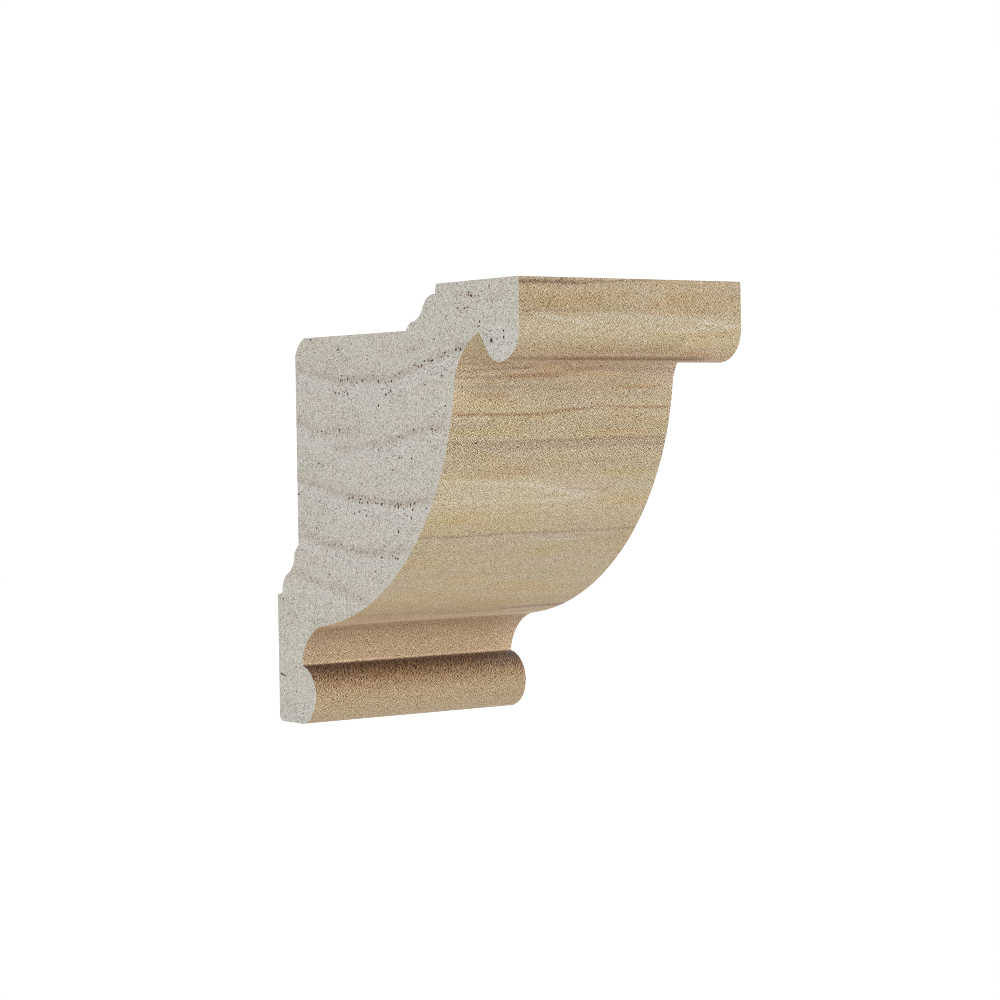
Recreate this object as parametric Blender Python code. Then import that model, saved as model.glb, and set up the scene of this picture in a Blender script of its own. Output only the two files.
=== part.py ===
"""A dentil block: one short, square-cut length of machined wood cornice moulding.

Metres, +Z up. X runs along the moulding and its moulded face looks to -Y. The origin is the
centre of the flat pad at the foot of the back, the face that is fixed to the wall.

The section is drawn as (out, up) points: out from the plane of the back pad, up from the
underside. It is walked from the back of the underside, up the moulded face, over the top and
down the back, so a convex curve turns left (a positive turn) and a hollow one turns right.
"""

import math

import bmesh
import bpy
from mathutils import Matrix, Vector

# Whole block
BLOCK_LENGTH = 0.0540
BLOCK_HEIGHT = 0.0889
BLOCK_DEPTH = 0.0875

# Half-round bead at the foot, and the neck of wood behind the sharp corner over it
BEAD_RADIUS = 0.00615
BEAD_PROJECTION = 0.00535
NECK_THICKNESS = 0.0093

# Cove, and the large convex curve that runs up from it
COVE_RADIUS = 0.0103
OVOLO_FOOT = 0.0205
OVOLO_LEAN = math.radians(5.6)
OVOLO_DROP = 0.0027

# Soffit between the large curve and the groove, and the groove's inner slope
SOFFIT_WIDTH = 0.00815
SOFFIT_TURN = math.radians(51)
GROOVE_DEPTH = 0.0058
GROOVE_SLOPE = math.radians(54)

# Top lip with its rolled-under lower edge
LIP_THICKNESS = 0.01565
LIP_FRONT_RADIUS = 0.0064
LIP_BACK_RADIUS = 0.0045
TOP_LAND = 0.0269

# Stepped ogee relief, the same behind the lip and above the back pad
RELIEF_STEP = 0.00187
RELIEF_DRAFT = 0.00045
RELIEF_LEDGE = 0.0003
OGEE_RADIUS = 0.0044
OGEE_TURN = math.radians(65)
RELIEF_CHAMFER = 0.0017

# Back pad, its arris at the underside, and the eased corner at the top of the back
PAD_HEIGHT = 0.0267
PAD_ARRIS = 0.0009
CORNER_LEG = 0.0035
CORNER_TURN = math.radians(41)

# How far a facet of a curve may lie from the true curve
CURVE_TOLERANCE = 0.000004

# Edges sharper than this stay crisp in shading
CRISP_EDGE = math.radians(24)

WOOD_COLOUR = (0.54, 0.42, 0.26, 1.0)
WOOD_ROUGHNESS = 0.62


def arc(centre, radius, start, end):
    """Points on a circle from one angle to another, with both ends."""
    step = 2 * math.acos(1 - CURVE_TOLERANCE / radius)
    count = max(2, math.ceil(abs(end - start) / step))
    angles = [start + (end - start) * i / count for i in range(count + 1)]
    return [centre + radius * Vector((math.cos(a), math.sin(a))) for a in angles]


def arc_about(centre, start, end):
    """Points along the shorter arc about a centre, from start to end."""
    first = start - centre
    last = end - centre
    angle = math.atan2(first.y, first.x)
    turn = math.atan2(first.x * last.y - first.y * last.x, first.dot(last))
    return arc(centre, first.length, angle, angle + turn)


def arc_between(start, end, turn):
    """Points from start to end along the arc that turns left by turn, or right if it is negative."""
    chord = end - start
    radius = chord.length / (2 * math.sin(abs(turn) / 2))
    side = math.copysign(1, turn)
    middle = (start + end) / 2
    left = Vector((-chord.y, chord.x)).normalized()
    centre = middle + side * left * radius * math.cos(turn / 2)
    first = math.atan2(start.y - centre.y, start.x - centre.x)
    return arc(centre, radius, first, first + turn)


def circles_meet(centre_a, radius_a, centre_b, radius_b):
    """The crossing of two circles that lies to the right of the way from the first centre to the second."""
    way = centre_b - centre_a
    along = (way.length_squared + radius_a**2 - radius_b**2) / (2 * way.length)
    across = math.sqrt(radius_a**2 - along**2)
    unit = way.normalized()
    return centre_a + along * unit + across * Vector((unit.y, -unit.x))


def relief():
    """The stepped ogee relief as (run, depth) points, from the end of a land to the lower face."""
    half_run = OGEE_RADIUS * math.sin(OGEE_TURN)
    half_drop = OGEE_RADIUS * (1 - math.cos(OGEE_TURN))
    ogee_start = Vector((RELIEF_DRAFT + RELIEF_LEDGE, RELIEF_STEP))
    middle = ogee_start + Vector((half_run, half_drop))
    ogee_end = middle + Vector((half_run, half_drop))
    chamfer_start = ogee_end + Vector((RELIEF_LEDGE, 0))
    points = [Vector((0, 0)), Vector((RELIEF_DRAFT, RELIEF_STEP))]
    points += arc_between(ogee_start, middle, OGEE_TURN)
    points += arc_between(middle, ogee_end, -OGEE_TURN)[1:]
    points += [chamfer_start, chamfer_start + Vector((RELIEF_CHAMFER, RELIEF_CHAMFER))]
    return points


def bead_and_cove(ovolo_centre, ovolo_radius):
    """From the underside round the bead to the sharp corner over it, and up the cove to the large curve."""
    centre = Vector((NECK_THICKNESS + BEAD_PROJECTION - BEAD_RADIUS, BEAD_RADIUS))
    corner_out = NECK_THICKNESS - centre.x
    corner = Vector((NECK_THICKNESS, centre.y + math.sqrt(BEAD_RADIUS**2 - corner_out**2)))
    corner_angle = math.atan2(corner.y - centre.y, corner.x - centre.x)
    bead = arc(centre, BEAD_RADIUS, -math.pi / 2, corner_angle)
    cove_centre = circles_meet(corner, COVE_RADIUS, ovolo_centre, ovolo_radius + COVE_RADIUS)
    cove_end = cove_centre + COVE_RADIUS * (ovolo_centre - cove_centre).normalized()
    return bead + arc_about(cove_centre, corner, cove_end)[1:]


def lip():
    """From the bottom of the groove round the lip's rolled edge and up its face to the top corner."""
    lowest = Vector((BLOCK_DEPTH - LIP_FRONT_RADIUS, BLOCK_HEIGHT - LIP_THICKNESS))
    back_centre = lowest + Vector((0, LIP_BACK_RADIUS))
    front_centre = lowest + Vector((0, LIP_FRONT_RADIUS))
    down = -math.pi / 2
    back = arc(back_centre, LIP_BACK_RADIUS, down - GROOVE_SLOPE, down)
    front = arc(front_centre, LIP_FRONT_RADIUS, down, 0)
    rise = lowest.y + GROOVE_DEPTH - back[0].y
    groove = back[0] + Vector((-rise / math.tan(GROOVE_SLOPE), rise))
    return [groove] + back + front[1:] + [Vector((BLOCK_DEPTH, BLOCK_HEIGHT))]


def section():
    """The closed outline of the moulding."""
    lip_points = lip()
    groove = lip_points[0]
    lip_bottom = BLOCK_HEIGHT - LIP_THICKNESS
    ovolo_top = Vector((groove.x - SOFFIT_WIDTH, lip_bottom - OVOLO_DROP))
    ovolo_radius = (ovolo_top.y - OVOLO_FOOT) / (1 - math.sin(OVOLO_LEAN))
    to_centre = Vector((-math.cos(OVOLO_LEAN), math.sin(OVOLO_LEAN)))
    ovolo_centre = ovolo_top + ovolo_radius * to_centre

    points = [Vector((PAD_ARRIS, 0))]
    points += bead_and_cove(ovolo_centre, ovolo_radius)
    points += arc_about(ovolo_centre, points[-1], ovolo_top)[1:]
    points += arc_between(ovolo_top, groove, -SOFFIT_TURN)[1:]
    points += lip_points[1:]

    steps = relief()
    sunk = steps[-1].y
    land_end = BLOCK_DEPTH - TOP_LAND
    points += [Vector((land_end - run, BLOCK_HEIGHT - depth)) for run, depth in steps]
    shelf = BLOCK_HEIGHT - sunk
    points += arc_between(Vector((sunk + CORNER_LEG, shelf)), Vector((sunk, shelf - CORNER_LEG)), CORNER_TURN)
    points += [Vector((depth, PAD_HEIGHT + run)) for run, depth in reversed(steps)]
    points.append(Vector((0, PAD_ARRIS)))
    return points


def wood():
    material = bpy.data.materials.new("wood")
    material.use_nodes = True
    shader = material.node_tree.nodes["Principled BSDF"]
    shader.inputs["Base Color"].default_value = WOOD_COLOUR
    shader.inputs["Roughness"].default_value = WOOD_ROUGHNESS
    shader.inputs["Metallic"].default_value = 0.0
    return material


def moulding_curve(outline, origin_up):
    """The section as a filled flat curve, thickened both ways to the block's length."""
    curve = bpy.data.curves.new("dentil_block_section", "CURVE")
    curve.dimensions = "2D"
    curve.fill_mode = "BOTH"
    curve.extrude = BLOCK_LENGTH / 2
    spline = curve.splines.new("POLY")
    spline.points.add(len(outline) - 1)
    spline.use_cyclic_u = True
    for point, place in zip(spline.points, outline):
        point.co = (-place.x, place.y - origin_up, 0, 1)
    return curve


def welded_mesh(curve_object):
    """The curve's evaluated mesh with its two end faces joined on, smooth over the curves."""
    graph = bpy.context.evaluated_depsgraph_get()
    mesh = bpy.data.meshes.new_from_object(curve_object.evaluated_get(graph))
    mesh.name = "dentil_block"
    shape = bmesh.new()
    shape.from_mesh(mesh)
    bmesh.ops.remove_doubles(shape, verts=shape.verts, dist=CURVE_TOLERANCE)
    bmesh.ops.recalc_face_normals(shape, faces=shape.faces)
    shape.to_mesh(mesh)
    shape.free()
    mesh.shade_smooth()
    mesh.set_sharp_from_angle(angle=CRISP_EDGE)
    return mesh


def dentil_block(collection):
    """The block, turned so that the section stands up and its length lies along X."""
    origin_up = (PAD_ARRIS + PAD_HEIGHT) / 2
    curve = moulding_curve(section(), origin_up)
    guide = bpy.data.objects.new("section_guide", curve)
    guide.matrix_world = Matrix.Rotation(math.pi / 2, 4, "Z") @ Matrix.Rotation(math.pi / 2, 4, "X")
    collection.objects.link(guide)
    mesh = welded_mesh(guide)
    mesh.materials.clear()
    mesh.materials.append(wood())
    block = bpy.data.objects.new("dentil_block", mesh)
    block.matrix_world = guide.matrix_world.copy()
    collection.objects.link(block)
    bpy.data.objects.remove(guide)
    return block


def main():
    for item in list(bpy.data.objects):
        bpy.data.objects.remove(item)
    collection = bpy.data.collections.new("dentil_block")
    bpy.context.scene.collection.children.link(collection)
    dentil_block(collection)


main()
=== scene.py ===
import math

import bpy
from mathutils import Matrix, Vector


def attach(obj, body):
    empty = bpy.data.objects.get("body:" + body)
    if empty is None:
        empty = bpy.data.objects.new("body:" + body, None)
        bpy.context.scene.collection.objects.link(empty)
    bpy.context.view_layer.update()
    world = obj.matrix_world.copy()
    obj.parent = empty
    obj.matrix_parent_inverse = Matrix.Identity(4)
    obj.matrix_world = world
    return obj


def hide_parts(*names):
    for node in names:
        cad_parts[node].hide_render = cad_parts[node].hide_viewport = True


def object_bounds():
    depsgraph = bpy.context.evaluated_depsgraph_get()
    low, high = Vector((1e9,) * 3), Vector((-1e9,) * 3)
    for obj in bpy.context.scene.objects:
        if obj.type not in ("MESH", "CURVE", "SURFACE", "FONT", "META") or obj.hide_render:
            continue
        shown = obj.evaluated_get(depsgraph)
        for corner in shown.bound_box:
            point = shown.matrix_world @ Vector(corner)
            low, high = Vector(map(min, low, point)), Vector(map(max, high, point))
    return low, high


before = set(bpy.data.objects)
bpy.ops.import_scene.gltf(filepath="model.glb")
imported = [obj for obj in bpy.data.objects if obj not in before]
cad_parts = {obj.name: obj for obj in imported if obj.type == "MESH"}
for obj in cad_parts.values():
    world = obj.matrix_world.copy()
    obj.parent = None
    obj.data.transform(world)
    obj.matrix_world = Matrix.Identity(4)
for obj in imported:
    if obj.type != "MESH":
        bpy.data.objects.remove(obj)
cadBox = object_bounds()
scene = bpy.context.scene

print("frame loaded")


# Camera: the place and turn that line the block up with the photograph
cameraSetup = {
    "place": (-0.31724, -0.48231, 0.04640),
    "heading": 35.853,      # degrees from +Y towards +X
    "pitch": -1.461,        # degrees above the horizon
    "roll": -0.8865,        # degrees
    "lens": 95.80,          # mm
    "sensor": 36,           # mm
    "clip": (0.01, 50),     # m
    "filterWidth": 1.0,     # px, as crisp as the photograph
}


def addCamera(setup):
    heading, pitch, roll = (math.radians(setup[k]) for k in ("heading", "pitch", "roll"))
    ahead = math.cos(pitch)
    forward = Vector((math.sin(heading) * ahead, math.cos(heading) * ahead, math.sin(pitch)))
    level = Vector((math.cos(heading), -math.sin(heading), 0))
    upright = level.cross(forward)
    right = math.cos(roll) * level + math.sin(roll) * upright
    up = math.cos(roll) * upright - math.sin(roll) * level
    bpy.ops.object.camera_add(location=setup["place"])
    camera = bpy.context.object
    camera.name = "photoCamera"
    camera.rotation_euler = Matrix((right, up, -forward)).transposed().to_euler()
    camera.data.sensor_width = setup["sensor"]
    camera.data.lens = setup["lens"]
    camera.data.clip_start, camera.data.clip_end = setup["clip"]
    scene.camera = camera
    scene.cycles.filter_width = setup["filterWidth"]
    scene.cycles.denoising_prefilter = "NONE"


addCamera(cameraSetup)
print("camera set")


# A value in a material's node tree. Sums written with it become Math nodes.
class Value:
    def __init__(self, finish, socket):
        self.finish = finish
        self.socket = socket

    def __add__(self, other):
        return self.finish.maths("ADD", self, other)

    def __radd__(self, other):
        return self.finish.maths("ADD", other, self)

    def __sub__(self, other):
        return self.finish.maths("SUBTRACT", self, other)

    def __rsub__(self, other):
        return self.finish.maths("SUBTRACT", other, self)

    def __mul__(self, other):
        return self.finish.maths("MULTIPLY", self, other)

    def __rmul__(self, other):
        return self.finish.maths("MULTIPLY", other, self)

    def __truediv__(self, other):
        return self.finish.maths("DIVIDE", self, other)

    def __rtruediv__(self, other):
        return self.finish.maths("DIVIDE", other, self)

    def __pow__(self, other):
        return self.finish.maths("POWER", self, other)

    def __neg__(self):
        return self.finish.maths("MULTIPLY", self, -1.0)

    def __abs__(self):
        return self.finish.maths("ABSOLUTE", self)


# One material and the ways to add nodes to it
class Finish:
    def __init__(self, name):
        self.material = bpy.data.materials.new(name)
        self.material.use_nodes = True
        self.nodes = self.material.node_tree.nodes
        self.links = self.material.node_tree.links
        self.shader = self.nodes["Principled BSDF"]

    def plug(self, socket, value):
        if isinstance(value, Value):
            self.links.new(value.socket, socket)
        elif isinstance(value, (tuple, list)) and socket.type == "RGBA" and len(value) == 3:
            socket.default_value = (*value, 1)
        else:
            socket.default_value = value

    # Settings go on the node first, then the sockets get their values or links. A socket is given by its
    # name, with _ for a space, or by its number, as in0.
    def node(self, kind, settings=None, out=0, **sockets):
        node = self.nodes.new(kind)
        for key, setting in (settings or {}).items():
            if key == "stops":
                self.fillRamp(node.color_ramp, setting)
            else:
                setattr(node, key, setting)
        for key, value in sockets.items():
            numbered = key.startswith("in") and key[2:].isdigit()
            name = int(key[2:]) if numbered else key.replace("_", " ")
            self.plug(node.inputs[name], value)
        return Value(self, node.outputs[out])

    def fillRamp(self, ramp, stops):
        while len(ramp.elements) > 1:
            ramp.elements.remove(ramp.elements[-1])
        for index, (place, colour) in enumerate(stops):
            element = ramp.elements[0] if index == 0 else ramp.elements.new(place)
            element.position = place
            element.color = (*colour, 1)

    def maths(self, operation, a, b=0.0):
        return self.node("ShaderNodeMath", {"operation": operation}, in0=a, in1=b)

    def blend(self, factor, a, b, how="MIX"):
        settings = {"data_type": "RGBA", "blend_type": how, "clamp_factor": True}
        return self.node("ShaderNodeMix", settings, out=2, in0=factor, in6=a, in7=b)

    def vector(self, operation, a, b):
        return self.node("ShaderNodeVectorMath", {"operation": operation}, in0=a, in1=b)

    # 0 at low, 1 at high, smooth between them. Low may be the larger one.
    def step(self, value, low, high):
        settings = {"interpolation_type": "SMOOTHSTEP"}
        return self.node("ShaderNodeMapRange", settings, Value=value, From_Min=low, From_Max=high)

    # cloudy noise, 0 to 1, on a place measured in mm
    def noise(self, place, scale, detail=2.0, roughness=0.5):
        return self.node("ShaderNodeTexNoise", Vector=place, Scale=scale, Detail=detail, Roughness=roughness)

    # the same, with its own number of clouds to a mm along X, Y and Z
    def clouds(self, place, perMillimetre, detail=1.0, roughness=0.5):
        return self.noise(self.vector("MULTIPLY", place, perMillimetre), 1.0, detail, roughness)


print("material tools ready")


# a colour given as 0 to 255 in each channel, made linear for the shader
def srgb(red, green, blue):
    shares = [channel / 255 for channel in (red, green, blue)]
    return tuple(((share + 0.055) / 1.055) ** 2.4 if share > 0.04 else share / 12.92 for share in shares)


# The block's wood. Heights are mm above the back pad's centre, depths are mm in front of the wall,
# and places along the block run from -27 at the near end to 27 at the far one.
woodLook = {
    "tones": [              # height and colour down the planed faces, with painted shade under the lip and on the bead's top and a painted highlight on the cove's foot
        (-14, (165, 144, 114)),
        (-8, (172, 149, 116)),
        (-5.4, (160, 132, 97)),
        # painted shade darkens the bead's top under the cove's corner
        (-3.4, (129, 99, 70)),
        (-2.4, (105, 77, 53)),
        (-1.70, (88, 62, 42)),
        # painted highlight on the cove's foot, just over the corner
        (-1.635, (248, 220, 188)),
        (-1.3, (236, 208, 176)),
        (-0.8, (206, 180, 146)),
        (1.5, (192, 166, 133)),
        (4.0, (176, 150, 118)),
        (6.0, (160, 133, 101)),
        (6.8, (166, 140, 109)),
        (7.2, (197, 173, 143)),
        (9.2, (165, 141, 110)),
        (12.4, (173, 152, 120)),
        (15.0, (174, 156, 126)),
        (24.6, (172, 156, 127)),
        (29.0, (178, 160, 128)),
        (32.0, (182, 166, 138)),
        (36.6, (182, 166, 138)),
        (38.6, (176, 159, 130)),
        (47.0, (180, 163, 132)),
        (53.0, (189, 172, 143)),
        (58.0, (190, 168, 140)),
        # painted shade along the ovolo's top, under the lip
        (60.4, (170, 147, 118)),
        (62.4, (176, 157, 127)),
        (65.0, (182, 166, 137)),
        (67.6, (182, 165, 136)),
        (69.4, (172, 152, 120)),
        (73.0, (174, 156, 126)),
        (75.2, (178, 159, 132)),
    ],
    "toneSpan": (-14.0, 76.0),          # heights that the ramps reach over
    "backTone": (182, 163, 133),        # the back, the top and the relief behind the lip
    "underLip": [           # height, and how much painted shade darkens and browns the lip's rolled lower edge there
        (59.3, (1.00, 1.00, 1.00)),
        (59.5, (0.85, 0.76, 0.66)),
        (59.8, (0.42, 0.28, 0.16)),
        (60.05, (0.45, 0.31, 0.18)),
        (60.25, (0.77, 0.67, 0.55)),
        (60.45, (0.97, 0.94, 0.90)),
        (61.1, (0.96, 0.94, 0.92)),
        (62.6, (0.98, 0.97, 0.96)),
        (64.4, (1.00, 1.00, 1.00)),
    ],
    "markLift": 0.12,       # mm, how far the marks stand above the heights given for them
    "streaks": (0.022, 1.1, 1.1),       # fibre streaks to a mm along X, Y and Z
    "streakTints": [        # from and to in the streaks, strength, tint
        (0.52, 0.74, 0.20, (0.68, 0.61, 0.55)),
        (0.46, 0.28, 0.18, (1.12, 1.15, 1.18)),
    ],
    "patches": (0.05, 0.30, 0.30),      # broad soft patches, golden and rosy
    "patchTints": [
        (0.50, 0.72, 0.45, (1.02, 0.91, 0.66)),
        (0.48, 0.28, 0.40, (0.97, 0.95, 1.12)),
    ],
    "olivePatches": (0.07, 0.22, 0.22),
    "oliveTints": [
        (0.50, 0.72, 0.40, (0.90, 0.98, 0.84)),
    ],
    "lipTilt": 0.0022,      # how much lighter the lip gets with each mm along the block
    "footShade": 0.19,      # how much painted shade darkens the ends of the foot
    "wander": ((0.05, 0.08, 0.08), 0.9),        # how the strokes waver: clouds to a mm, and how far, in mm
    "strokeFade": 5.0,      # mm at each end of a stroke
    "strokes": [            # from along, height to along, height, half width, colour, strength
        (-30, 73.9, -9, 74.2, 0.55, (122, 90, 66), 0.75),
        (-14, 74.3, 8, 74.8, 0.35, (138, 108, 86), 0.60),
        (6, 74.9, 30, 75.0, 0.30, (160, 134, 108), 0.50),
        (-30, 70.6, -13, 70.2, 1.3, (170, 142, 98), 0.50),
        (-17, 70.9, -5, 71.4, 1.1, (170, 138, 96), 0.50),
        (3, 70.3, 14, 71.0, 1.0, (174, 142, 106), 0.45),
        (14, 71.6, 25, 72.6, 0.6, (172, 140, 104), 0.35),
        (-26, 72.1, -8, 72.5, 0.6, (178, 160, 118), 0.40),
        (-30, 68.6, -7, 69.0, 0.4, (158, 130, 100), 0.50),
        (-1, 72.6, 9, 72.4, 1.2, (176, 166, 146), 0.45),
        (-25, 68.0, -7, 65.9, 0.85, (190, 181, 160), 0.65),
        (-12, 67.9, 16, 67.6, 0.65, (187, 178, 157), 0.50),
        (12, 67.6, 30, 66.2, 0.65, (190, 180, 162), 0.55),
        (-30, 66.5, -10, 65.0, 0.60, (189, 180, 158), 0.45),
        (6, 64.9, 27, 66.0, 0.55, (189, 179, 160), 0.45),
        (-13, 66.4, 22, 66.2, 1.3, (182, 174, 152), 0.35),
        (10, 62.6, 28, 63.4, 1.0, (186, 170, 124), 0.45),
        # painted shade along the lip's lower part
        (-16, 61.3, 14, 61.6, 0.8, (150, 122, 86), 0.42),
        (13, 61.0, 22, 60.7, 0.4, (172, 122, 76), 0.55),
        (-30, 59.4, -12, 59.8, 0.5, (160, 128, 98), 0.40),
        (-30, 58.0, -6, 58.9, 0.4, (150, 122, 104), 0.60),
        (-30, 57.0, -14, 57.1, 0.4, (150, 122, 100), 0.60),
        (-18, 57.1, 1, 57.3, 0.6, (160, 122, 82), 0.80),
        (-5, 57.8, 13, 59.2, 0.6, (156, 126, 98), 0.70),
        (7, 58.8, 30, 58.2, 0.8, (160, 134, 112), 0.50),
        (-30, 55.2, -9, 54.9, 0.4, (158, 144, 128), 0.50),
        (-25, 53.8, -12, 53.7, 0.7, (166, 130, 94), 0.60),
        (-12, 54.9, 5, 54.4, 0.4, (164, 146, 118), 0.35),
        (10, 54.9, 25, 55.3, 0.45, (178, 138, 90), 0.65),
        (-30, 49.7, -1, 49.8, 0.40, (156, 120, 84), 0.85),
        (-6, 49.8, 9, 51.0, 0.45, (156, 120, 84), 0.90),
        (5, 50.9, 30, 51.1, 0.40, (160, 126, 90), 0.80),
        (-30, 47.6, -14, 47.3, 0.5, (158, 140, 122), 0.45),
        (-16, 47.4, -8, 47.5, 0.5, (178, 144, 104), 0.50),
        (10, 48.6, 28, 48.2, 1.0, (182, 154, 112), 0.40),
        (7, 46.3, 25, 46.2, 0.6, (176, 146, 106), 0.45),
        (-28, 46.0, -7, 46.0, 0.8, (172, 158, 118), 0.35),
        (-30, 43.9, 1, 44.5, 0.50, (150, 124, 99), 0.65),
        (-30, 42.6, -9, 43.3, 0.9, (156, 139, 120), 0.60),
        (-5, 44.1, 30, 45.0, 0.50, (150, 122, 96), 0.60),
        (-14, 43.2, 30, 43.9, 0.9, (158, 140, 121), 0.60),
        (-30, 41.4, 1, 42.0, 0.8, (168, 156, 136), 0.35),
        (-22, 38.4, -1, 38.6, 0.8, (168, 142, 106), 0.50),
        (-15, 39.6, 1, 39.9, 0.5, (168, 146, 112), 0.35),
        (1, 39.8, 23, 40.6, 0.7, (168, 144, 108), 0.45),
        (-30, 36.9, 0, 36.0, 0.50, (193, 182, 156), 0.65),
        (-9, 36.2, 5, 34.8, 0.55, (194, 184, 164), 0.60),
        (0, 35.3, 14, 32.7, 0.65, (195, 185, 168), 0.62),
        (-30, 32.8, 5, 32.6, 0.50, (191, 179, 154), 0.55),
        (-4, 32.4, 12, 33.3, 0.50, (194, 184, 164), 0.60),
        (-30, 34.8, 4, 34.4, 1.6, (190, 180, 154), 0.35),
        (15, 31.8, 29, 31.6, 1.1, (180, 152, 104), 0.35),
        (-28, 30.2, -8, 30.4, 1.0, (182, 164, 114), 0.40),
        (11, 34.8, 25, 33.6, 1.2, (178, 160, 124), 0.35),
        (-30, 26.8, -5, 26.9, 0.4, (178, 150, 110), 0.35),
        (-30, 25.8, 30, 26.2, 0.35, (144, 124, 104), 0.72),
        (-26, 25.0, 30, 25.4, 0.5, (172, 154, 136), 0.60),
        (-3, 24.6, 15, 24.4, 0.25, (196, 184, 164), 0.50),
        (-28, 21.2, -18, 21.2, 0.4, (158, 140, 106), 0.45),
        (-26, 14.2, -10, 13.8, 0.8, (178, 148, 106), 0.40),
        (-15, 15.4, 3, 15.4, 0.6, (178, 156, 118), 0.35),
        (7, 13.4, 21, 14.2, 0.6, (170, 156, 108), 0.35),
        (10, 8.85, 30, 9.5, 0.32, (108, 82, 58), 0.85),
        (6, 8.8, 30, 9.3, 0.9, (148, 122, 94), 0.40),
        (-9, 8.6, 12, 8.9, 0.30, (148, 122, 94), 0.50),
        (-30, 8.4, -8, 8.1, 0.7, (156, 130, 100), 0.40),
        (-30, 9.6, -7, 9.4, 0.30, (156, 134, 106), 0.35),
        (-14, 8.0, 11, 8.0, 0.6, (178, 150, 124), 0.40),
        (9, 8.5, 24, 8.6, 0.5, (188, 170, 148), 0.35),
        (14, 7.7, 30, 8.0, 0.7, (148, 122, 94), 0.40),
        (-30, 7.4, -17, 7.6, 0.5, (148, 122, 96), 0.35),
    ],
    "pits": [               # along, height, half lengths, how many more pits
        (-20, 70.6, 9, 1.6, 0.12),
        (14, 70.6, 8, 1.2, 0.10),
        (-21, 74.0, 8, 0.6, 0.40),
    ],
    "pitGrid": 1.6,         # places for a pit to a mm
    "pitShare": 0.02,
    "pitColour": (100, 68, 46),
    "sandByHeight": [       # height, and how strongly the sanded specks and lines show there
        (-14, 0.70, 0.42),
        (-8, 0.80, 0.48),
        (-3, 0.94, 0.60),
        (0, 0.92, 0.56),
        (6.6, 0.92, 0.50),
        (7.2, 0.80, 0.24),
        (14, 0.84, 0.20),
        (24, 0.92, 0.24),
        (29, 0.90, 0.36),
        (38, 0.92, 0.44),
        (42, 0.96, 0.64),
        (50, 0.92, 0.58),
        (58, 0.88, 0.50),
        (62, 0.80, 0.42),
        (76, 0.80, 0.42),
    ],
    "endTone": (184, 180, 169),
    "endPatches": (0.05, 0.06, 0.18),   # soft patches of the end grain to a mm
    "endPatchColours": [    # from and to in the patches, strength, colour
        (0.50, 0.74, 0.6, (185, 177, 164)),
        (0.48, 0.28, 0.6, (185, 183, 175)),
    ],
    "rings": [              # (depth, height) points, strength, and (from depth, to depth, share) of its pores
        (((8, 60.4), (14, 59.2), (20, 58.2), (26, 57.4), (33, 57.1), (44, 57.0), (50, 58.2),
          (56, 59.6), (62, 61.2), (67, 62.3), (71, 62.8)),
         1.0, ((23, 46, 0.60), (53, 69, 0.45))),
        (((8, 49.4), (13, 48.0), (16, 47.2), (20, 46.8), (26, 46.9), (34, 47.3)),
         0.8, ((16, 26, 0.15),)),
        (((24, 43.2), (32, 44.0), (41, 44.3), (46, 45.2), (52, 46.4), (58, 47.2), (64, 47.4)),
         0.8, ((46, 53, 0.30),)),
        (((8, 37.4), (14, 36.4), (20, 35.3), (24, 34.5), (30, 33.6), (34, 33.1), (40, 33.0),
          (46, 32.4), (52, 32.6), (60, 33.6)),
         1.0, ((29, 54, 0.62),)),
        (((8, 26.2), (14, 25.2), (18, 24.3), (24, 23.3), (30, 22.8), (36, 22.5), (44, 22.5), (52, 23.6)),
         0.9, ((20, 42, 0.16),)),
        (((6, 18.0), (12, 16.4), (20, 15.6), (25, 14.4), (30, 13.4), (36, 12.4)),
         0.7, ((22, 34, 0.10),)),
        (((0, 7.2), (6, 6.9), (14, 6.3)), 0.35, ()),
        (((40, 61.8), (46, 62.0), (54, 62.9), (60, 64.4)), 0.35, ((44, 60, 0.10),)),
        (((66, 72.9), (72, 72.5), (86, 72.0)), 0.35, ((69, 80, 0.25),)),
    ],
    "ringSpan": 90,         # depths and heights that the rings' ramps reach over, from 0 and from ringLow
    "ringLow": -10,
    "ringClouds": (0.05, 0.25, 0.9),    # what makes the rings ragged, to a mm
    "ringBands": {          # colour and strength
        "beige": ((181, 172, 159), 0.42),
        "pale": ((190, 186, 181), 0.48),
        "core": ((144, 126, 110), 0.37),
    },
    "nose": ((81.5, 61.5), (8, 6.5), (190, 187, 181), 0.55),    # middle, half lengths, colour, strength
    "poreGroups": [         # depth, height, half lengths, slope, share of pores
        (27, 54.9, 5.0, 0.6, 0.0, 0.45),
        (42, 54.2, 5.0, 1.6, -0.2, 0.28),
        (33, 31.0, 5.0, 0.6, 0.0, 0.40),
        (47, 30.6, 4.0, 1.3, 0.0, 0.34),
        (80, 64.6, 4.0, 1.4, 0.1, 0.40),
        (60, 52.0, 6.0, 9.0, 0.0, 0.05),
    ],
    "poreShare": 0.010,
    "largePores": [         # depth, height and half width of the pores that stand out
        (78.7, 63.4, 0.50), (82.6, 63.9, 0.32), (82.6, 65.1, 0.28), (75.0, 67.1, 0.28), (72.2, 72.1, 0.25),
        (68.6, 62.1, 0.34), (67.1, 62.1, 0.32), (59.2, 60.3, 0.26), (55.4, 59.4, 0.30), (47.7, 58.1, 0.25),
        (44.8, 56.6, 0.32), (40.1, 56.7, 0.36), (34.3, 57.0, 0.32), (28.8, 57.4, 0.28), (26.1, 57.2, 0.28),
        (24.2, 54.8, 0.26), (28.7, 54.5, 0.30), (44.4, 54.8, 0.28), (40.0, 51.9, 0.32), (52.3, 47.0, 0.28),
        (51.4, 41.4, 0.28), (40.5, 32.3, 0.36), (46.5, 31.8, 0.32), (51.5, 31.4, 0.32), (32.5, 32.6, 0.30),
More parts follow.
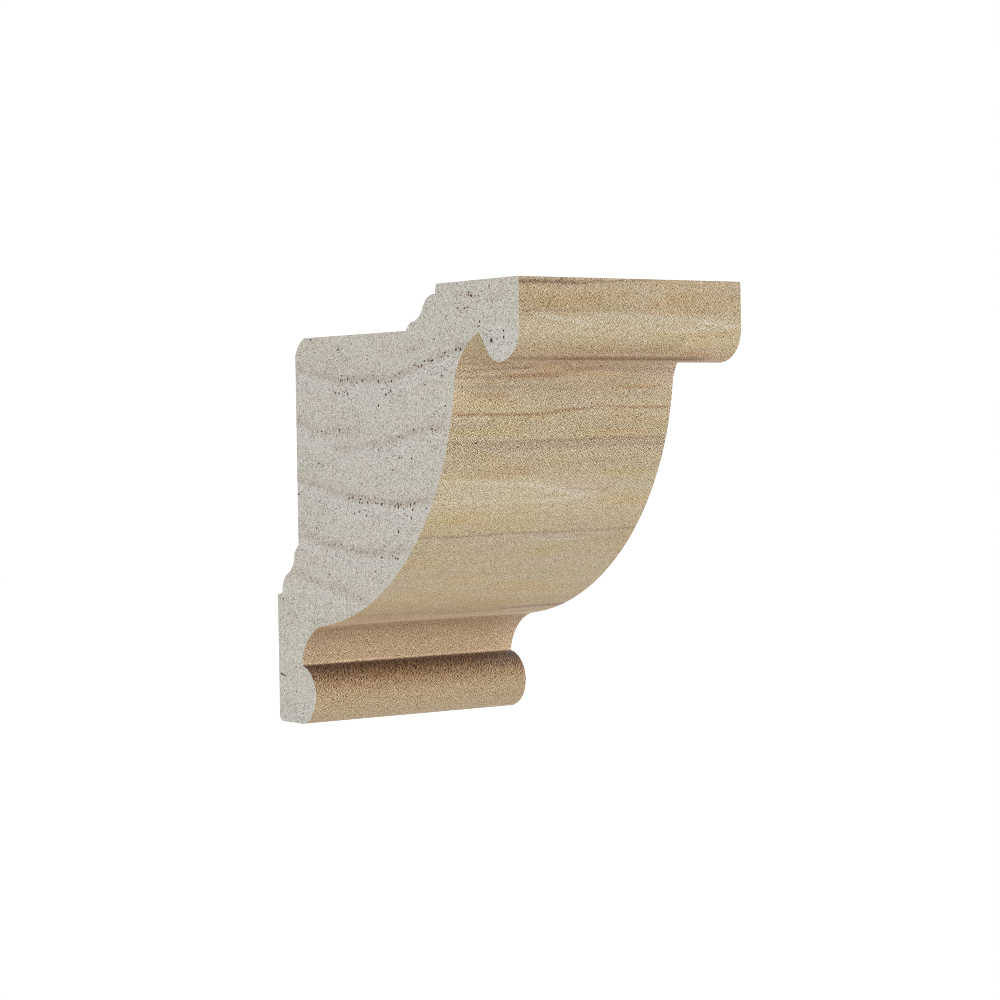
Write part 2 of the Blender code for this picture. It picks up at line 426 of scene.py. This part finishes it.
        (35.4, 32.6, 0.26), (30.5, 30.3, 0.26), (35.0, 30.0, 0.26), (51.1, 29.7, 0.28), (46.4, 27.0, 0.34),
        (39.7, 43.2, 0.24), (45.2, 21.7, 0.26),
    ],
    "poreGrid": 1.45,       # places for a pore to a mm
    "poreColours": ((56, 36, 26), (142, 100, 70)),      # darkest and brownest
    "largePoreColour": (54, 34, 24),
    "speckGrid": 2.4,       # places for a small dark speck to a mm
    "speckClouds": (0.05, 0.09, 0.34),  # what crowds the specks together, to a mm
    "speckColour": (98, 76, 58),
    "largeCurve": ((11.25, 62.16), 55.46),      # depth and height of the large curve's centre, and its radius
    "stripColour": (187, 183, 172),
    "stripShare": 0.40,
    "crack": ((0.6, 3.4), (-3.9, -4.5)),        # depths and heights of a short dark crack by the wall
    "crackColour": (56, 42, 34),
    "grit": 8.5,            # sandy grains to a mm
    "endGrit": 7.5,
    "sandLong": 0.59,       # strength of the sanded pattern on the planed faces
    "sandEnd": 0.52,        # and on the end grain
    "hatch": 1.45,          # waves of the sanded pattern to a mm
    "hatchBend": (1.2, 1.4),            # how the waves bend: clouds to a mm, and how far, in waves
    "roughness": 0.68,
    "endRoughness": 0.78,
    "bumpStrength": 0.4,
    "bumpDepth": 0.00004,   # m
}


# the piece's own coordinates, in mm
def placeInMillimetres(finish):
    place = finish.node("ShaderNodeTexCoord", out=3)
    return finish.vector("MULTIPLY", place, (1000, 1000, 1000))


def splitPlace(finish, place):
    node = finish.nodes.new("ShaderNodeSeparateXYZ")
    finish.links.new(place.socket, node.inputs[0])
    return [Value(finish, socket) for socket in node.outputs]


# a ramp that gives each height its own colour
def byHeight(finish, height, span, stops):
    low, high = span
    shares = [((h - low) / (high - low), colour) for h, colour in stops]
    return finish.node("ShaderNodeValToRGB", {"stops": shares}, Fac=(height - low) / (high - low))


# a fine sandy pattern: output 0 is how far a place is from the middle of its grain, 1 the grain's colour
def grainPattern(finish, place, scale, out, flat):
    settings = {"voronoi_dimensions": "2D" if flat else "3D"}
    return finish.node("ShaderNodeTexVoronoi", settings, out=out, Vector=place, Scale=scale)


# one number for each grain, 0 to 1
def grains(finish, place, scale, out=0, flat=False):
    colour = grainPattern(finish, place, scale, 1, flat)
    return finish.node("ShaderNodeSeparateColor", out=out, Color=colour)


# how far a place is from the middle of its grain, in grains
def grainDistance(finish, place, scale, flat=False):
    return grainPattern(finish, place, scale, 0, flat)


# the fine crossed lines that sanding leaves, -1 to 1
def sandedLines(finish, place, along, across, look):
    bendScale, bendSize = look["hatchBend"]
    elsewhere = finish.vector("ADD", place, (31, 17, 5))
    shiftA = finish.noise(place, bendScale, detail=0.0) * bendSize
    shiftB = finish.noise(elsewhere, bendScale, detail=0.0) * bendSize
    turn = 2 * math.pi
    waveA = finish.maths("SINE", (along * look["hatch"] + shiftA) * turn)
    waveB = finish.maths("SINE", (across * look["hatch"] + shiftB) * turn)
    return waveA * waveB


# 1 in the middle of an oval patch, 0 outside it
def oval(finish, a, b, middle, halves, slope=0.0):
    acrossA = (a - middle[0]) / halves[0]
    acrossB = (b - middle[1] - (a - middle[0]) * slope) / halves[1]
    return 1 - finish.step(acrossA * acrossA + acrossB * acrossB, 0.2, 1.0)


# lightens and darkens a colour by a sandy pattern, as much on dark wood as on pale wood
def sanded(finish, colour, sand):
    grey = finish.node("ShaderNodeGamma", Color=colour, Gamma=0.38)
    amount = finish.node("ShaderNodeCombineXYZ", X=sand, Y=sand, Z=sand)
    return finish.vector("ADD", colour, finish.vector("MULTIPLY", grey, amount))


# the worked-out colour, roughness and fine relief go into the shader
def plugShader(finish, colour, roughness, relief, look):
    strength, depth = look["bumpStrength"], look["bumpDepth"]
    bump = finish.node("ShaderNodeBump", Strength=strength, Distance=depth, Height=relief)
    finish.plug(finish.shader.inputs["Base Color"], colour)
    finish.plug(finish.shader.inputs["Roughness"], roughness)
    finish.plug(finish.shader.inputs["Normal"], bump)


# The planed faces. Y runs towards the wall, so toWall is below 0 in front of it.
def makeLongGrain(look):
    finish = Finish("planedLongGrain")
    place = placeInMillimetres(finish)
    along, toWall, height = splitPlace(finish, place)
    level = height - look["markLift"]

    # broad tones from the foot to the top, with painted shade under the lip and on the bead's top under the
    # cove's corner, and a painted highlight on the cove's foot
    tones = [(h, srgb(*tone)) for h, tone in look["tones"]]
    colour = byHeight(finish, height, look["toneSpan"], tones)

    # 1 on the moulded face, 0 on the back, the top and the relief behind the lip
    inFront = finish.step(toWall, -8.7, -9.2)
    underTop = finish.step(height, 75.09, 75.04)
    behindLip = finish.step(toWall, -61.0, -60.0) * finish.step(height, 62.0, 64.0)
    moulded = inFront * underTop * (1 - behindLip)
    colour = finish.blend(moulded, srgb(*look["backTone"]), colour)

    # fibre streaks, long and thin, then broad patches, which hardly show on the moulded face's foot
    thin = finish.clouds(place, look["streaks"], detail=2.0, roughness=0.6)
    broad = finish.clouds(place, look["patches"])
    olive = finish.clouds(place, look["olivePatches"])
    free = 1 - (1 - finish.step(height, 5.0, 10.0)) * moulded * 0.7
    for start, full, strength, tint in look["streakTints"]:
        colour = finish.blend(finish.step(thin, start, full) * strength, colour, tint, "MULTIPLY")
    for start, full, strength, tint in look["patchTints"]:
        colour = finish.blend(finish.step(broad, start, full) * free * strength, colour, tint, "MULTIPLY")
    for start, full, strength, tint in look["oliveTints"]:
        colour = finish.blend(finish.step(olive, start, full) * free * strength, colour, tint, "MULTIPLY")

    # the growth rings, drawn one by one as soft strokes that waver a little; the stroke along the lip's lower
    # part at 61.3 mm is painted shade
    wanderClouds, wanderSize = look["wander"]
    wander = finish.clouds(place, wanderClouds) - 0.5
    bent = level - wander * wanderSize
    ragged = finish.step(thin, 0.20, 0.62) * 0.45 + 0.55
    for startAlong, startHeight, endAlong, endHeight, half, strokeColour, strength in look["strokes"]:
        length = endAlong - startAlong
        rise = (endHeight - startHeight) / length
        offLine = abs(bent - along * rise - (startHeight - startAlong * rise))
        fade = min(look["strokeFade"], length * 0.3)
        fadeIn = finish.step(along, startAlong, startAlong + fade)
        fadeOut = 1 - finish.step(along, endAlong - fade, endAlong)
        inside = (1 - finish.step(offLine, half * 0.15, half * 1.3)) * fadeIn * fadeOut
        colour = finish.blend(inside * ragged * strength, colour, srgb(*strokeColour))

    # painted shade on the lip's rolled lower edge, darkest along the middle of the block
    under = byHeight(finish, level, look["toneSpan"], look["underLip"])
    onLip = finish.step(toWall, -74.0, -76.0)
    nearPart = finish.step(along, -22.0, -12.0) * 0.5 + 0.5
    farPart = 1 - finish.step(along, 17.0, 23.5) * 0.85
    colour = finish.blend(onLip * nearPart * farPart, colour, under, "MULTIPLY")

    # the far end of the lip is a little lighter, and painted shade darkens both ends of the foot a little
    tilt = along * finish.step(height, 56.0, 64.0) * look["lipTilt"]
    foot = finish.step(height, -5.5, -3.5) * (1 - finish.step(height, 4.5, 6.5))
    nearEnd = 1 - finish.step(along, -28.0, -15.0)
    farEnd = finish.step(along, 17.0, 28.0) * (1 - finish.step(height, -1.7, -1.5))
    ends = nearEnd * 0.8 + farEnd
    lift = 1 + tilt - ends * foot * moulded * look["footShade"]
    lift = finish.node("ShaderNodeCombineColor", Red=lift, Green=lift, Blue=lift)
    colour = finish.blend(1.0, colour, lift, "MULTIPLY")

    # sanded specks and crossed lines, weaker off the moulded face
    speck = grains(finish, place, look["grit"])
    across = height - toWall * 0.7 + along * 0.03
    lines = sandedLines(finish, place, along, across, look)
    stops = [(h, (specks, hatching, 0)) for h, specks, hatching in look["sandByHeight"]]
    shares = byHeight(finish, height, look["toneSpan"], stops)
    specks = (speck - 0.5) * finish.node("ShaderNodeSeparateColor", out=0, Color=shares)
    hatching = lines * finish.node("ShaderNodeSeparateColor", out=1, Color=shares)
    sand = specks * (moulded * 0.35 + 0.65) + hatching * (moulded * 0.75 + 0.25)
    colour = sanded(finish, colour, sand * look["sandLong"])

    # small dark pits, a few anywhere and more in the given places
    dots = grainDistance(finish, place, look["pitGrid"])
    pick = grains(finish, place, look["pitGrid"])
    many = look["pitShare"]
    for middle, middleHeight, halfAlong, halfHeight, more in look["pits"]:
        group = oval(finish, along, level, (middle, middleHeight), (halfAlong, halfHeight))
        many = many + group * more
    pit = (1 - finish.step(dots, 0.16, 0.40)) * finish.step(pick + many, 0.98, 1.0)
    colour = finish.blend(pit * 0.75, colour, srgb(*look["pitColour"]))

    soft = finish.noise(place, 1.9, detail=1.0)
    roughness = look["roughness"] - (soft - 0.5) * 0.25
    relief = speck * 0.4 + lines * 0.2 - pit * 1.5 + thin * 0.4
    plugShader(finish, colour, roughness, relief, look)
    return finish.material


# The two sawn ends
def makeEndGrain(look):
    finish = Finish("sawnEndGrain")
    place = placeInMillimetres(finish)
    toWall, height = splitPlace(finish, place)[1:]
    depth = -toWall
    level = height - look["markLift"]
    flat = finish.node("ShaderNodeCombineXYZ", X=toWall, Y=level)
    colour = srgb(*look["endTone"])

    # soft patches, faintly pink and faintly grey
    patch = finish.clouds(place, look["endPatches"], detail=2.0)
    for start, full, strength, tone in look["endPatchColours"]:
        colour = finish.blend(finish.step(patch, start, full) * strength, colour, srgb(*tone))

    # growth rings: a brown line, beige wood over it and pale bluish wood under it
    rough = finish.clouds(place, look["ringClouds"], detail=3.0, roughness=0.6)
    ragged = finish.step(rough, 0.30, 0.58) * 0.75 + 0.25
    span, lowest = look["ringSpan"], look["ringLow"]
    bands = look["ringBands"]
    many = look["poreShare"]
    for points, strength, poreRanges in look["rings"]:
        first, last = points[0][0], points[-1][0]
        stops = [(d / span, ((h - lowest) / span,) * 3) for d, h in points]
        line = finish.node("ShaderNodeValToRGB", {"stops": stops}, Fac=depth / span)
        gap = level - (line * span + lowest) - (rough - 0.5) * 1.6
        fadeIn = finish.step(depth, first - 2, first + 2)
        fadeOut = 1 - finish.step(depth, last - 3, last + 3)
        there = fadeIn * fadeOut * strength
        masks = {
            "beige": finish.step(gap, 4.5, 0.6) * finish.step(gap, -0.6, 0.6) * there,
            "pale": finish.step(gap, -6.5, -1.6) * finish.step(gap, -0.1, -1.6) * there,
            "core": (1 - finish.step(abs(gap), 0.05, 1.3)) * there * ragged,
        }
        for band, mask in masks.items():
            tone, share = bands[band]
            colour = finish.blend(mask * share, colour, srgb(*tone))
        row = 1 - finish.step(abs(gap), 0.30, 1.0)
        for start, end, share in poreRanges:
            between = finish.step(depth, start - 1, start + 1) * (1 - finish.step(depth, end - 1, end + 1))
            many = many + row * between * share

    # the lip's nose is paler
    middle, halves, tone, share = look["nose"]
    nose = oval(finish, depth, height, middle, halves)
    colour = finish.blend(nose * share, colour, srgb(*tone))

    # sanded grain
    speck = grains(finish, flat, look["endGrit"], flat=True)
    colour = sanded(finish, colour, (speck - 0.5) * look["sandEnd"])

    # a pale strip beside the large curve, with fewer specks and pores in it
    (centreDepth, centreHeight), radius = look["largeCurve"]
    acrossDepth = depth - centreDepth
    acrossHeight = height - centreHeight
    fromCentre = (acrossDepth * acrossDepth + acrossHeight * acrossHeight) ** 0.5
    beside = finish.step(fromCentre + (rough - 0.5) * 1.2, radius - 2.4, radius - 0.2)
    strip = beside * finish.step(height, 60.0, 54.0) * finish.step(depth, 30.0, 38.0)
    colour = finish.blend(strip * look["stripShare"], colour, srgb(*look["stripColour"]))
    rest = 1 - strip * 0.6

    # small dark specks all over
    crowd = finish.clouds(place, look["speckClouds"], detail=3.0)
    chosen = grains(finish, flat, look["speckGrid"], flat=True) + (crowd - 0.5) * 1.2
    deep = grains(finish, flat, look["speckGrid"], out=1, flat=True)
    offSpeck = grainDistance(finish, flat, look["speckGrid"], flat=True)
    fine = (1 - finish.step(offSpeck, 0.18, 0.50)) * finish.step(chosen, 0.64, 0.84)
    fine = fine * (deep * 0.85 + 0.08) * rest
    colour = finish.blend(fine, colour, srgb(*look["speckColour"]))

    # larger pores, in rows along the rings and in groups
    for middle, middleHeight, halfDepth, halfHeight, slope, share in look["poreGroups"]:
        group = oval(finish, depth, level, (middle, middleHeight), (halfDepth, halfHeight), slope)
        many = many + group * share
    wide = finish.vector("MULTIPLY", flat, (0.6, 1, 1))
    picked = grains(finish, wide, look["poreGrid"], flat=True)
    brown = grains(finish, wide, look["poreGrid"], out=1, flat=True)
    size = grains(finish, wide, look["poreGrid"], out=2, flat=True) * 0.22
    offPore = grainDistance(finish, wide, look["poreGrid"], flat=True) + size
    pore = (1 - finish.step(offPore, 0.16, 0.46)) * finish.step(picked + many * rest, 0.985, 1.0)
    darkest, brownest = look["poreColours"]
    poreColour = finish.blend(finish.step(brown, 0.45, 0.95), srgb(*darkest), srgb(*brownest))
    colour = finish.blend(pore, colour, poreColour)

    # the pores that stand out, each in its place
    for poreDepth, poreHeight, half in look["largePores"]:
        middle = (-poreDepth, poreHeight, 0)
        settings = {"operation": "DISTANCE"}
        offMiddle = finish.node("ShaderNodeVectorMath", settings, out=1, in0=flat, in1=middle)
        large = 1 - finish.step(offMiddle, half * 0.45, half * 1.25)
        colour = finish.blend(large, colour, srgb(*look["largePoreColour"]))

    # a short dark crack by the wall
    (startDepth, endDepth), (startHeight, endHeight) = look["crack"]
    fall = (endHeight - startHeight) / (endDepth - startDepth)
    offCrack = abs(level - startHeight - (depth - startDepth) * fall - (rough - 0.5) * 0.8)
    fadeIn = finish.step(depth, startDepth - 0.3, startDepth + 0.3)
    fadeOut = 1 - finish.step(depth, endDepth - 1.2, endDepth)
    crack = (1 - finish.step(offCrack, 0.08, 0.34)) * fadeIn * fadeOut
    colour = finish.blend(crack * 0.9, colour, srgb(*look["crackColour"]))

    soft = finish.noise(place, 1.9, detail=1.0)
    roughness = look["endRoughness"] - (soft - 0.5) * 0.2
    relief = speck * 0.4 - pore * 3.0 - fine * 1.0 - crack * 4.0
    plugShader(finish, colour, roughness, relief, look)
    return finish.material


# The block itself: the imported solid's own shape with its cut edges eased
blockShape = {
    "mergeDistance": 0.000001,      # m, points closer than this are one
    "flatAngle": 0.2,       # degrees, faces flatter than this are joined
    "arrisWidth": 0.00018,  # m
    "arrisSteps": 2,
    "crispAngle": 26,       # degrees, sharper folds are eased and stay crisp
    "endFacing": 0.70,      # faces that look along the block more than this are end grain
}


def selectOnly(piece):
    bpy.ops.object.select_all(action="DESELECT")
    piece.hide_viewport = False
    piece.select_set(True)
    bpy.context.view_layer.objects.active = piece


def makeBlock(shape, look):
    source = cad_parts["dentil_block"]
    selectOnly(source)
    bpy.ops.object.duplicate()
    block = bpy.context.object
    block.name = "dentilBlock"
    block.data = block.data.copy()
    block.data.name = "dentilBlock"
    block.parent = None
    for key in list(block.keys()):      # what marks the node in the frame stays with the node
        del block[key]
    bpy.ops.object.mode_set(mode="EDIT")
    bpy.ops.mesh.select_mode(type="VERT")
    bpy.ops.mesh.select_all(action="SELECT")
    bpy.ops.mesh.remove_doubles(threshold=shape["mergeDistance"])
    bpy.ops.mesh.dissolve_limited(angle_limit=math.radians(shape["flatAngle"]))
    bpy.ops.mesh.normals_make_consistent(inside=False)
    bpy.ops.object.mode_set(mode="OBJECT")
    bpy.ops.mesh.customdata_custom_splitnormals_clear()

    ease = block.modifiers.new("easedArrises", "BEVEL")
    ease.width = shape["arrisWidth"]
    ease.segments = shape["arrisSteps"]
    ease.limit_method = "ANGLE"
    ease.angle_limit = math.radians(shape["crispAngle"])
    bpy.ops.object.modifier_apply(modifier=ease.name)
    bpy.ops.object.shade_smooth_by_angle(angle=math.radians(shape["crispAngle"]))

    block.data.materials.clear()
    block.data.materials.append(makeLongGrain(look))
    block.data.materials.append(makeEndGrain(look))
    for face in block.data.polygons:
        face.material_index = 1 if abs(face.normal.x) > shape["endFacing"] else 0

    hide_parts("dentil_block")
    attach(block, "root")
    print("block made with", len(block.data.polygons), "faces")


makeBlock(blockShape, woodLook)


# Studio: a pale floor well under the hanging block, white surroundings and a soft light from the front
studio = {
    "floorDrop": 0.20,      # m under the block
    "floorSize": 8.0,       # m
    "floorTone": 0.9,       # 1 would be white
    "floorRoughness": 0.9,
    "floorGlow": 0.10,
    "surround": 1.02,       # strength of the white surroundings
    "keyPlace": (-0.50, -0.95, 0.25),   # m
    "keyAim": (0, -0.04, 0.03),         # m
    "keySize": 0.6,         # m
    "keyPower": 1.0,        # W
}


def makeStudio(setup):
    bpy.ops.object.select_all(action="DESELECT")
    floorHeight = cadBox[0].z - setup["floorDrop"]
    bpy.ops.mesh.primitive_plane_add(size=setup["floorSize"], location=(0, 0, floorHeight))
    floor = bpy.context.object
    floor.name = "paleFloor"
    finish = Finish("paleFloor")
    inputs = finish.shader.inputs
    finish.plug(inputs["Base Color"], (setup["floorTone"],) * 3)
    finish.plug(inputs["Roughness"], setup["floorRoughness"])
    finish.plug(inputs["Emission Color"], (1, 1, 1))
    finish.plug(inputs["Emission Strength"], setup["floorGlow"])
    floor.data.materials.append(finish.material)

    world = bpy.data.worlds.new("studio")
    world.use_nodes = True
    background = world.node_tree.nodes["Background"]
    background.inputs["Color"].default_value = (1, 1, 1, 1)
    background.inputs["Strength"].default_value = setup["surround"]
    scene.world = world

    bpy.ops.object.light_add(type="AREA", location=setup["keyPlace"])
    key = bpy.context.object
    key.name = "softKey"
    key.data.shape = "DISK"
    key.data.size = setup["keySize"]
    key.data.energy = setup["keyPower"]
    aim = Vector(setup["keyAim"]) - key.location
    key.rotation_euler = aim.to_track_quat("-Z", "Y").to_euler()

    scene.view_settings.view_transform = "Standard"
    scene.view_settings.look = "None"


makeStudio(studio)
print("studio ready")
